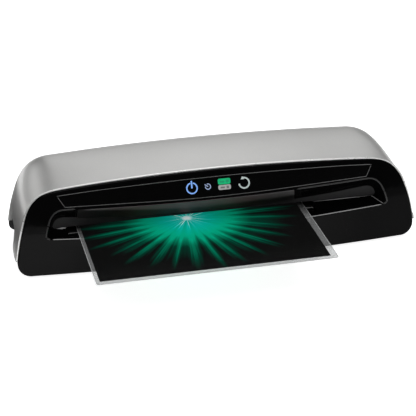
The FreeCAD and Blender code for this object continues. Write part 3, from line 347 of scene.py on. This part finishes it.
def hood():
    """Satin deflector: painted highlight along its front edge, where the strip turns up to the light, fading to painted
    shade deeper in the slot.
    """
    m = Mat("hood_satin")
    sx = m.node("ShaderNodeSeparateXYZ")
    m.link(m.co.outputs["Object"], sx.inputs["Vector"])
    x, y = sx.outputs[0], sx.outputs[1]
    front = m.math("ADD", -0.0005 - YO / 1000.0, m.math("MULTIPLY", m.math("POWER", m.math("DIVIDE", m.math("ABSOLUTE", x), 0.26), 2.0), 0.0133))
    v = m.math("DIVIDE", m.math("SUBTRACT", y, front), m.math("SUBTRACT", (18.2 - YO) / 1000.0, front))
    wl = m.remap(x, -0.184, -0.03, 0.04, 0.80)
    wr = m.remap(x, 0.0, 0.10, 0.80, 0.62)
    wdt = m.math("MINIMUM", wl, wr)
    t = m.math("DIVIDE", v, wdt)
    # painted highlight: lighter along the front edge of the strip, fading to painted shade further back in the slot
    n = m.node("ShaderNodeMapRange", interpolation_type="SMOOTHSTEP")
    n.inputs[1].default_value = 0.55
    n.inputs[2].default_value = 1.05
    n.inputs[3].default_value = 1.0
    n.inputs[4].default_value = 0.0
    m.link(t, n.inputs[0])
    k = m.math("MULTIPLY", n.outputs[0], m.math("SUBTRACT", 1.0, m.math("MULTIPLY", v, 0.75)))
    k = m.math("ADD", k, m.math("MULTIPLY", m.math("SUBTRACT", m.noise(30.0, 3.0, 0.5), 0.5), 0.05), None, True)
    # painted warm tint above the middle of the sheet, offsetting the green light the sheet throws onto it
    painted_tint_zone = m.node("ShaderNodeMapRange", interpolation_type="SMOOTHSTEP")
    painted_tint_zone.inputs[1].default_value = 0.025
    painted_tint_zone.inputs[2].default_value = 0.125
    painted_tint_zone.inputs[3].default_value = 1.0
    painted_tint_zone.inputs[4].default_value = 0.0
    m.link(m.math("ABSOLUTE", m.math("ADD", x, 0.038)), painted_tint_zone.inputs[0])
    mix = m.node("ShaderNodeMix", data_type="RGBA")
    m.link(m.math("MULTIPLY", painted_tint_zone.outputs[0], m.remap(v, 0.0, 0.12, 0.15, 1.0)), mix.inputs[0])
    m.link(m.ramp(k, [(0.0, (0.0125, 0.0120, 0.0121)), (1.0, (0.104, 0.099, 0.100))]), mix.inputs[6])
    m.link(m.ramp(k, [(0.0, (0.048, 0.0080, 0.0100)), (1.0, (0.212, 0.100, 0.118))]), mix.inputs[7])
    m.link(mix.outputs[2], m.b.inputs["Base Color"])
    m.link(m.remap(m.noise(55.0, 4.0, 0.6), 0.3, 0.7, 0.36, 0.44), m.b.inputs["Roughness"])
    m.val("Specular IOR Level", 0.15)
    m.bump(m.noise(1500.0, 2.0, 0.6), 0.06, 0.0003)
    return m.m


def film():
    """Clear laminating film: clear over the sheet, a little milky along the sealed border."""
    m = Mat("clear_film")
    tr = m.node("ShaderNodeBsdfTransparent")
    tr.inputs[0].default_value = (0.985, 0.99, 0.988, 1)
    # sealed border, outside the sheet
    sx = m.node("ShaderNodeSeparateXYZ")
    m.link(m.co.outputs["Object"], sx.inputs["Vector"])
    dlo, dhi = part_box("document")
    plo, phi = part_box("pouch_film")
    eps = 0.00015
    inside = None
    for k in (0, 1):
        q = m.math("MULTIPLY", m.math("GREATER_THAN", sx.outputs[k], dlo[k] - eps),
                   m.math("LESS_THAN", sx.outputs[k], dhi[k] + eps))
        inside = q if inside is None else m.math("MULTIPLY", inside, q)
    border = m.math("SUBTRACT", 1.0, inside)
    # painted highlight: the outermost edge of the film is lighter
    rim = None
    for k in (0, 1):
        q = m.math("MAXIMUM", m.remap(sx.outputs[k], plo[k] + 0.0004, plo[k] + 0.0011, 1.0, 0.0),
                   m.remap(sx.outputs[k], phi[k] - 0.0011, phi[k] - 0.0004, 0.0, 1.0))
        rim = q if rim is None else m.math("MAXIMUM", rim, q)
    milk_and_highlight = m.math("ADD", m.remap(m.noise(60.0, 3.0, 0.6), 0.3, 0.7, 0.125, 0.160), m.math("MULTIPLY", rim, 0.36))
    tint = m.node("ShaderNodeMix", data_type="RGBA")
    m.link(border, tint.inputs[0])
    tint.inputs[6].default_value = (0.985, 0.99, 0.988, 1)
    tint.inputs[7].default_value = (0.815, 0.818, 0.818, 1)
    m.link(tint.outputs[2], tr.inputs[0])
    milk_and_highlight = m.math("MULTIPLY", milk_and_highlight, border)
    df = m.node("ShaderNodeBsdfDiffuse")
    df.inputs["Color"].default_value = (0.80, 0.81, 0.81, 1)
    mx0 = m.node("ShaderNodeMixShader")
    m.link(milk_and_highlight, mx0.inputs[0])
    m.link(tr.outputs[0], mx0.inputs[1])
    m.link(df.outputs[0], mx0.inputs[2])
    gl = m.node("ShaderNodeBsdfGlossy")
    gl.inputs["Color"].default_value = (1, 1, 1, 1)
    m.link(m.remap(m.noise(45.0, 4.0, 0.6), 0.3, 0.7, 0.10, 0.16), gl.inputs["Roughness"])
    fr = m.node("ShaderNodeFresnel")
    fr.inputs["IOR"].default_value = 1.33
    mx = m.node("ShaderNodeMixShader")
    m.link(m.math("MULTIPLY", fr.outputs[0], 0.003), mx.inputs[0])
    m.link(mx0.outputs[0], mx.inputs[1])
    m.link(gl.outputs[0], mx.inputs[2])
    m.link(mx.outputs[0], m.out.inputs["Surface"])
    return m.m


def board():
    m = Mat("circuit_board")
    v = m.node("ShaderNodeTexVoronoi")
    v.inputs["Scale"].default_value = 140.0
    m.link(m.co.outputs["Object"], v.inputs["Vector"])
    m.link(m.ramp(v.outputs["Distance"], [(0.1, (0.01, 0.10, 0.045)), (0.5, (0.02, 0.16, 0.07)), (0.8, (0.06, 0.24, 0.11))]),
           m.b.inputs["Base Color"])
    m.link(m.remap(m.noise(80.0), 0.3, 0.7, 0.3, 0.45), m.b.inputs["Roughness"])
    return m.m


M_SILVER = silver()
M_GLOSS = gloss_black()
M_LENS = lens_black()
M_MATTE = plastic("textured_black", (0.016, 0.016, 0.0175), 0.52, 0.12, 0.30, 1500.0, 0.35)
M_BASE = plastic("base_black", (0.010, 0.010, 0.011), 0.58, 0.14, 0.35, 1300.0, 0.30)
M_DARK = plastic("slot_wall_grey", (0.019, 0.019, 0.0195), 0.50, 0.10, 0.25, 1500.0, 0.15)
M_GUIDE = plastic("guide_black", (0.006, 0.006, 0.0065), 0.42, 0.12, 0.15, 1200.0, 0.35)
M_HOOD = hood()
M_SWITCH = plastic("switch_black", (0.012, 0.012, 0.013), 0.28, 0.10, 0.05, 900.0, 0.45)
M_ROCK = plastic("rocker_gloss", (0.014, 0.014, 0.015), 0.22, 0.10, 0.03, 900.0, 0.5)
M_RUBBER = plastic("foot_rubber", (0.012, 0.012, 0.012), 0.75, 0.18, 0.45, 700.0, 0.25)
M_SILI = plastic("silicone_red", (0.30, 0.060, 0.030), 0.55, 0.10, 0.20, 800.0, 0.35)
M_GEAR = plastic("acetal_white", (0.72, 0.70, 0.63), 0.38, 0.05, 0.06, 500.0, 0.45)
M_BUSH = plastic("bush_brown", (0.16, 0.085, 0.035), 0.48, 0.12, 0.10, 500.0, 0.4)
M_MICA = plastic("mica_strip", (0.42, 0.36, 0.25), 0.55, 0.22, 0.20, 260.0, 0.4)
M_CER = plastic("ceramic_white", (0.74, 0.72, 0.66), 0.60, 0.06, 0.15, 600.0, 0.35)
M_THERMO = plastic("thermostat_body", (0.20, 0.11, 0.05), 0.45, 0.12, 0.10, 500.0, 0.4)
M_PLATE = metal("zinc_plate", (0.55, 0.56, 0.55), 0.38, (1, 1, 1), 0.14, 1.0, 0.05, 45.0)
M_BRIGHT = metal("ground_steel", (0.62, 0.62, 0.62), 0.20, (0.06, 1, 1), 0.07, 1.0, 0.04, 700.0)
M_ALU = metal("extruded_aluminium", (0.70, 0.70, 0.71), 0.34, (0.03, 1, 1), 0.07, 1.0, 0.08, 420.0)
M_ZINC = metal("motor_case", (0.46, 0.47, 0.48), 0.42, (1, 1, 1), 0.10, 1.0, 0.05, 60.0)
M_PCB = board()
M_FILM = film()
M_PRINT = burst()

for n_ in ("front_bezel",):
    assign(n_, M_GLOSS)
assign("panel_lens", M_LENS)
assign("exit_slot_frame", M_DARK)
assign("hood_deflector", M_HOOD)
assign("top_cover", M_SILVER)
for n_ in ("rear_cover", "input_tray"):
    assign(n_, M_MATTE)
for n_ in ("base_tray", "grip_liner_left", "grip_liner_right"):
    assign(n_, M_BASE)
for n_ in ("entry_guide_lower", "entry_guide_upper", "mid_guide_lower", "mid_guide_upper", "exit_guide_lower"):
    assign(n_, M_GUIDE)
for n_ in ("mains_inlet", "rocker_housing"):
    assign(n_, M_SWITCH)
assign("rocker_button", M_ROCK)
assign("rubber_feet", M_RUBBER)
for n_ in ("case_screws", "side_frame_left", "side_frame_right", "top_crossbar", "motor_plate"):
    assign(n_, M_PLATE)
for n_ in ("tie_rods", "idler_stud", "motor_pinion", "nip_springs", "hot_upper_shaft", "hot_lower_shaft",
           "exit_upper_shaft", "exit_lower_shaft"):
    assign(n_, M_BRIGHT)
for a_ in ("hot_upper", "hot_lower", "exit_upper", "exit_lower"):
    assign(a_ + "_sleeve", M_SILI)
    assign(a_ + "_gear", M_GEAR)
assign("idler_gear", M_GEAR)
for n_ in ("bushings_hot", "bushings_exit"):
    assign(n_, M_BUSH)
for n_ in ("hot_shoe_upper", "hot_shoe_lower"):
    assign(n_, M_ALU)
assign("strip_heaters", M_MICA)
for n_ in ("shoe_mounts", "thermal_fuse"):
    assign(n_, M_CER)
assign("thermostats", M_THERMO)
assign("gear_motor", M_ZINC)
for n_ in ("power_board", "control_board"):
    assign(n_, M_PCB)
assign("pouch_film", M_FILM)
assign("document", M_PRINT)
assign("icon_power", lit("glow_blue", (0.17, 0.33, 0.72), 0.72))
assign("icon_timer", lit("glow_pale", (0.26, 0.33, 0.50), 0.7))
assign("icon_reverse", lit("glow_grey", (0.34, 0.39, 0.38), 0.7))
assign("status_window_upper", window("window_green", (0.004, 0.30, 0.115), (0.01, 0.19, 0.09), 0.8,
                                     [(1.2, 7.0, 100.6, 102.2), (9.2, 13.0, 100.4, 103.2)]))
assign("status_window_lower", window("window_grey", (0.30, 0.30, 0.295), (0.11, 0.11, 0.11), 0.65,
                                     [(1.4, 7.2, 93.6, 95.6), (9.4, 12.6, 93.2, 96.2)]))


# ------------------------------------------------------- small edge details
def tube(name, pts, rad, mat, body="case", closed=False, sides=10):
    """Fine round bead swept along a line of points given in working millimetres."""
    P = [R(*p) for p in pts]
    bm = bmesh.new()
    rings = []
    n = len(P)
    for i, p in enumerate(P):
        if closed:
            t = (P[(i + 1) % n] - P[i - 1]).normalized()
        else:
            t = (P[min(i + 1, n - 1)] - P[max(i - 1, 0)]).normalized()
        up = Vector((0, 0, 1)) if abs(t.z) < 0.9 else Vector((0, 1, 0))
        a = t.cross(up).normalized()
        b = a.cross(t).normalized()
        k = 1.0
        if not closed and i in (0, n - 1):
            k = 0.35
        ring_ = [bm.verts.new(p + (a * math.cos(q) + b * math.sin(q)) * rad * k / 1000.0)
                 for q in [2 * math.pi * j / sides for j in range(sides)]]
        rings.append(ring_)
    m = n if closed else n - 1
    for i in range(m):
        r0, r1 = rings[i], rings[(i + 1) % n]
        for j in range(sides):
            f = bm.faces.new((r0[j], r0[(j + 1) % sides], r1[(j + 1) % sides], r1[j]))
            f.smooth = True
    if not closed:
        bm.faces.new(list(reversed(rings[0])))
        bm.faces.new(rings[-1])
    bmesh.ops.recalc_face_normals(bm, faces=bm.faces)
    me = bpy.data.meshes.new(name)
    bm.to_mesh(me)
    bm.free()
    ob = bpy.data.objects.new(name, me)
    bpy.context.scene.collection.objects.link(ob)
    me.materials.append(mat)
    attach(ob, body)
    return ob


def cat(pts, n):
    """n points along a Catmull-Rom line through pts."""
    out = []
    m = len(pts)
    for i in range(m - 1):
        p0, p1, p2, p3 = pts[max(i - 1, 0)], pts[i], pts[i + 1], pts[min(i + 2, m - 1)]
        for j in range(n):
            t = j / n
            out.append(tuple(0.5 * ((2 * b) + (-a + c) * t + (2 * a - 5 * b + 4 * c - d) * t * t +
                                    (-a + 3 * b - 3 * c + d) * t ** 3) for a, b, c, d in zip(p0, p1, p2, p3)))
    out.append(tuple(pts[-1]))
    return out


# edge beads: greys lighter than the black mouldings they follow, painted highlights along the moulded edges
M_EDGE = plastic("edge_painted_highlight_soft", (0.10, 0.10, 0.10), 0.26, 0.05, 0.0, 900.0, 0.45, 0.03)
M_EDGE2 = plastic("edge_bright", (0.26, 0.26, 0.26), 0.24, 0.05, 0.0, 900.0, 0.6, 0.03)
M_EDGE3 = plastic("edge_painted_highlight_strong", (0.48, 0.48, 0.48), 0.24, 0.05, 0.0, 900.0, 0.6, 0.03)
M_RIM = plastic("edge_dim", (0.030, 0.030, 0.030), 0.34, 0.05, 0.0, 900.0, 0.25, 0.03)

P_TOP = [(-208.7, 100.8), (-165, 103.9), (-110, 106.3), (-56, 107.8), (0, 108.3),
         (56, 107.8), (110, 106.3), (165, 103.9), (208.7, 100.8)]
P_BOT = [(200, 87.2), (155, 86.9), (104, 86.1), (52, 85.2), (0, 84.9), (-52, 85.2),
         (-104, 86.1), (-155, 86.9), (-200, 87.2)]
top = cat([(x, 0, z) for x, z in P_TOP], 8)
bot = cat([(x, 0, z) for x, z in P_BOT], 8)
side_r = [(208.7 - 8.7 * t / 6.0, 0, 100.8 - 13.6 * t / 6.0) for t in range(1, 6)]
side_l = [(-200.0 - 8.7 * t / 6.0, 0, 87.2 + 13.6 * t / 6.0) for t in range(1, 6)]
loop = [(x, yf(x, z) + 0.35, z) for x, _, z in top + side_r + bot + side_l]
# panel outline: a round bead in edge grey, lighter than the black front, a painted highlight line
tube("panel_edge_line", loop, 0.50, M_EDGE, closed=True)

# recess: thin beads where the front moulding turns into the slot, greys lighter than the black moulding as painted
# highlights along these edges
REC = [((222, 49.6), (211, 54.1)), ((226.6, 52.5), (215.6, 56.5)),
       ((225.4, 60), (215.4, 60.5)), ((222.6, 68.5), (213.6, 64.5)),
       ((218.8, 76), (210.2, 67.6)), ((212.5, 81.8), (205, 69.3)),
       ((203, 84.3), (197, 69.0)), ((180, 84.1), (178, 66.9)),
       ((150, 83.6), (150, 64.0)), ((100, 82.9), (100, 60.9)),
       ((50, 82.5), (50, 59.6)), ((0, 82.4), (0, 59.3))]
REC_B = [(0, 45.0), (60, 45.3), (120, 46.2), (160, 47.5), (200, 48.8), (219, 49.5)]
SL_L, SL_R = -198.3, 130.3
rim_r = cat([(p[0][0], 0, p[0][1]) for p in REC[:10]], 5)
for side, last in ((1, 100), (-1, 184)):
    pts = [(side * x, yf(x, z) + 0.75, z) for x, _, z in rim_r if x >= last or z < 80]
    tube("recess_rim_right" if side > 0 else "recess_rim_left", pts, 1.15, M_RIM)
low_r = cat([(x, 0, z) for x, z in REC_B], 6)
low = [(-x, y, z) for x, y, z in reversed(low_r[1:])] + low_r
tube("recess_low_edge", [(x, yf(x, z) + 0.2, z - 0.1) for x, _, z in low], 0.6, M_EDGE2)
pts = []
for k in range(13):
    t = k / 12.0
    x, z = 222 - 11 * t, 49.6 + 4.5 * t
    y0 = yf(222, 49.6) + 0.4
    pts.append((x - 0.35, y0 + (18.6 - y0) * t, z + 0.35))
tube("recess_corner_right", pts, 0.55, M_EDGE2)
# wall feet and exit lips: painted highlight lines in the lighter edge greys
tube("wall_foot_right", [(SL_R + 0.6, 18.2, 54.6), (170, 18.2, 54.6), (210.4, 18.2, 54.6)], 0.7, M_EDGE2)
tube("wall_foot_left", [(-211.0, 18.1, 54.7), (-204, 18.1, 54.7), (SL_L - 0.4, 18.1, 54.7)], 1.0, M_EDGE3)
lip = [(-197.0, 13.4, 46.9), (-197.1, 13.2, 47.9), (-196.2, 13.3, 48.5), (-194.5, 13.6, 48.5), (-150, 13.75, 48.3)]
tube("exit_lip_left", lip, 0.42, M_EDGE3)
lip = [(-x + SL_L + SL_R, y, z) for x, y, z in lip[:-1]] + [(86.0, 13.75, 48.3)]
tube("exit_lip_right", lip, 0.42, M_EDGE3)

# rolled lip where the silver skin meets the black front: the round bead catches the light, and its metal is lighter
# than the silver lacquer, a painted highlight
HALF = [(0, 116.5), (50, 115.95), (100, 114.25), (150, 111.4), (180, 109.2),
        (205, 106.9), (216, 105.3), (226, 102.6), (234, 98.7), (240.6, 93.2),
        (246, 86.3), (250.3, 78), (254.5, 66), (257.8, 55.5), (260.6, 44),
        (263.2, 31), (264.75, 22.6)]
M_LIP = metal("lip_bright", (0.86, 0.86, 0.85), 0.30, (1, 1, 1), 0.05, 0.85, 0.03, 90.0)
off = []
for i, (x, z) in enumerate(HALF):
    (ax, az), (bx, bz) = HALF[max(i - 1, 0)], HALF[min(i + 1, len(HALF) - 1)]
    if i == 0:
        ax, az = -bx, bz
    l = math.hypot(bx - ax, bz - az)
    nx, nz = -(bz - az) / l, (bx - ax) / l
    off.append((x + nx * 1.35, 0, z + nz * 1.35))
lip_r = cat(off, 6)
lip_all = [(-x, y, z) for x, y, z in reversed(lip_r[1:])] + [p for p in lip_r if p[2] > 28.0]
tube("cover_lip", [(x, yf(x, z) + 1.75, z) for x, _, z in lip_all], 1.08, M_LIP, sides=12)

# ---------------------------------------------------------- stage and light
scene = bpy.context.scene
scene.view_settings.view_transform = "Standard"
scene.view_settings.look = "None"

w = bpy.data.worlds.new("studio")
scene.world = w
w.use_nodes = True
w.node_tree.nodes["Background"].inputs[0].default_value = (1.0, 1.0, 1.0, 1)
w.node_tree.nodes["Background"].inputs[1].default_value = 0.10


def card(name, verts, base, glow):
    """Flat studio card: pale, slightly lit from behind."""
    me = bpy.data.meshes.new(name)
    me.from_pydata([Vector(v) for v in verts], [], [(0, 1, 2, 3)])
    me.update()
    ob = bpy.data.objects.new(name, me)
    scene.collection.objects.link(ob)
    m = Mat(name + "_white")
    n = m.noise(1.5, 2.0, 0.5)
    m.link(m.ramp(n, [(0.3, (base - 0.01,) * 3), (0.7, (base + 0.01,) * 3)]), m.b.inputs["Base Color"])
    m.val("Roughness", 0.95)
    m.val("Specular IOR Level", 0.0)
    if glow:
        m.b.inputs["Emission Color"].default_value = (1, 1, 1, 1)
        m.val("Emission Strength", glow)
    me.materials.append(m.m)
    return ob


card("studio_floor", [(-7, -4.0, 0), (7, -4.0, 0), (7, 1.5, 0), (-7, 1.5, 0)], 0.90, 0.93)
card("front_card", [(-7, -4.0, 0), (7, -4.0, 0), (7, -4.0, 0.9), (-7, -4.0, 0.9)], 0.60, 0.35)


def flag(name, pts, level):
    """Dark flag card lying on the floor out of the picture, to shade one side."""
    me = bpy.data.meshes.new(name)
    me.from_pydata([Vector((x, y, 0.001)) for x, y in pts], [], [tuple(range(len(pts)))])
    me.update()
    ob = bpy.data.objects.new(name, me)
    scene.collection.objects.link(ob)
    m = Mat(name + "_grey")
    m.link(m.ramp(m.noise(3.0, 2.0, 0.5), [(0.3, (level,) * 3), (0.7, (level * 1.1,) * 3)]), m.b.inputs["Base Color"])
    m.val("Roughness", 0.95)
    m.val("Specular IOR Level", 0.0)
    me.materials.append(m.m)
    ob.visible_camera = False


flag("flag_left", [(-0.50, -0.45), (-0.342, -0.45), (-0.332, -0.319), (-0.292, 0.054), (-0.275, 0.214),
                   (-0.256, 0.40), (-0.50, 0.40)], 0.03)


def sweep():
    """Tall card behind: brighter towards its top, a darker upright band on the left and a shaded right end."""
    me = bpy.data.meshes.new("rear_card")
    me.from_pydata([Vector((-5, 3, 0)), Vector((5, 3, 0)), Vector((5, 3, 4.5)), Vector((-5, 3, 4.5))], [], [(0, 1, 2, 3)])
    me.update()
    ob = bpy.data.objects.new("rear_card", me)
    scene.collection.objects.link(ob)
    m = Mat("rear_card_glow")
    sx = m.node("ShaderNodeSeparateXYZ")
    m.link(m.co.outputs["Object"], sx.inputs["Vector"])
    x, z = sx.outputs[0], sx.outputs[2]
    up = m.ramp(m.math("DIVIDE", z, 4.5), [(0.0, (0.34,) * 3), (0.12, (0.48,) * 3), (0.32, (0.84,) * 3), (0.55, (1.08,) * 3)])
    band = m.math("MULTIPLY", m.remap(x, -1.15, -0.88, 0.0, 1.0), m.remap(x, -0.34, -0.18, 1.0, 0.0))
    side = m.math("MULTIPLY", m.remap(x, 0.70, 1.90, 0.0, 1.0), m.remap(z, 0.6, 2.4, 1.0, 0.25))
    lvl = m.math("SUBTRACT", m.math("SUBTRACT", 1.0, m.math("MULTIPLY", band, 0.94)), m.math("MULTIPLY", side, 0.75), None, True)
    m.b.inputs["Base Color"].default_value = (0.2, 0.2, 0.2, 1)
    m.val("Specular IOR Level", 0.0)
    mix = m.node("ShaderNodeMix", data_type="RGBA", blend_type="MULTIPLY")
    mix.inputs[0].default_value = 1.0
    m.link(up, mix.inputs[6])
    cr = m.ramp(lvl, [(0.0, (0.0,) * 3), (1.0, (1.0,) * 3)])
    m.link(cr, mix.inputs[7])
    m.link(mix.outputs[2], m.b.inputs["Emission Color"])
    m.val("Emission Strength", 1.0)
    me.materials.append(m.m)


sweep()


def area(name, loc, target, size, power_, col=(1, 1, 1)):
    l = bpy.data.lights.new(name, "AREA")
    l.shape = "RECTANGLE"
    l.size, l.size_y = size
    l.energy = power_
    l.color = col
    o = bpy.data.objects.new(name, l)
    scene.collection.objects.link(o)
    o.location = loc
    d = Vector(target) - Vector(loc)
    o.rotation_euler = d.to_track_quat("-Z", "Y").to_euler()
    return o


area("top_box", (0.3, -0.1, 2.6), (0, 0.0, 0), (3.6, 2.2), 42)

# ------------------------------------------------------------------- camera
a, e, ro = 0.225294, 0.441550, -0.007856
d = Vector((math.sin(a) * math.cos(e), math.cos(a) * math.cos(e), -math.sin(e)))
r = Vector((math.cos(a), -math.sin(a), 0))
u = r.cross(d)
r2 = r * math.cos(ro) + u * math.sin(ro)
u2 = -r * math.sin(ro) + u * math.cos(ro)
cam_d = bpy.data.cameras.new("photo_camera")
cam = bpy.data.objects.new("photo_camera", cam_d)
scene.collection.objects.link(cam)
cam_d.sensor_width = 36.0
cam_d.sensor_fit = "HORIZONTAL"
cam_d.lens = 1531.63 * 36.0 / 416.0
cam_d.shift_x = -0.0012
cam_d.shift_y = 0.0024
cam_d.clip_end = 50.0
cam_d.clip_start = 0.05
loc = R(-414.61, -1739.37, 912.21)
rot = Matrix((r2, u2, -d)).transposed()
cam.matrix_world = Matrix.Translation(loc) @ rot.to_4x4()
scene.camera = cam
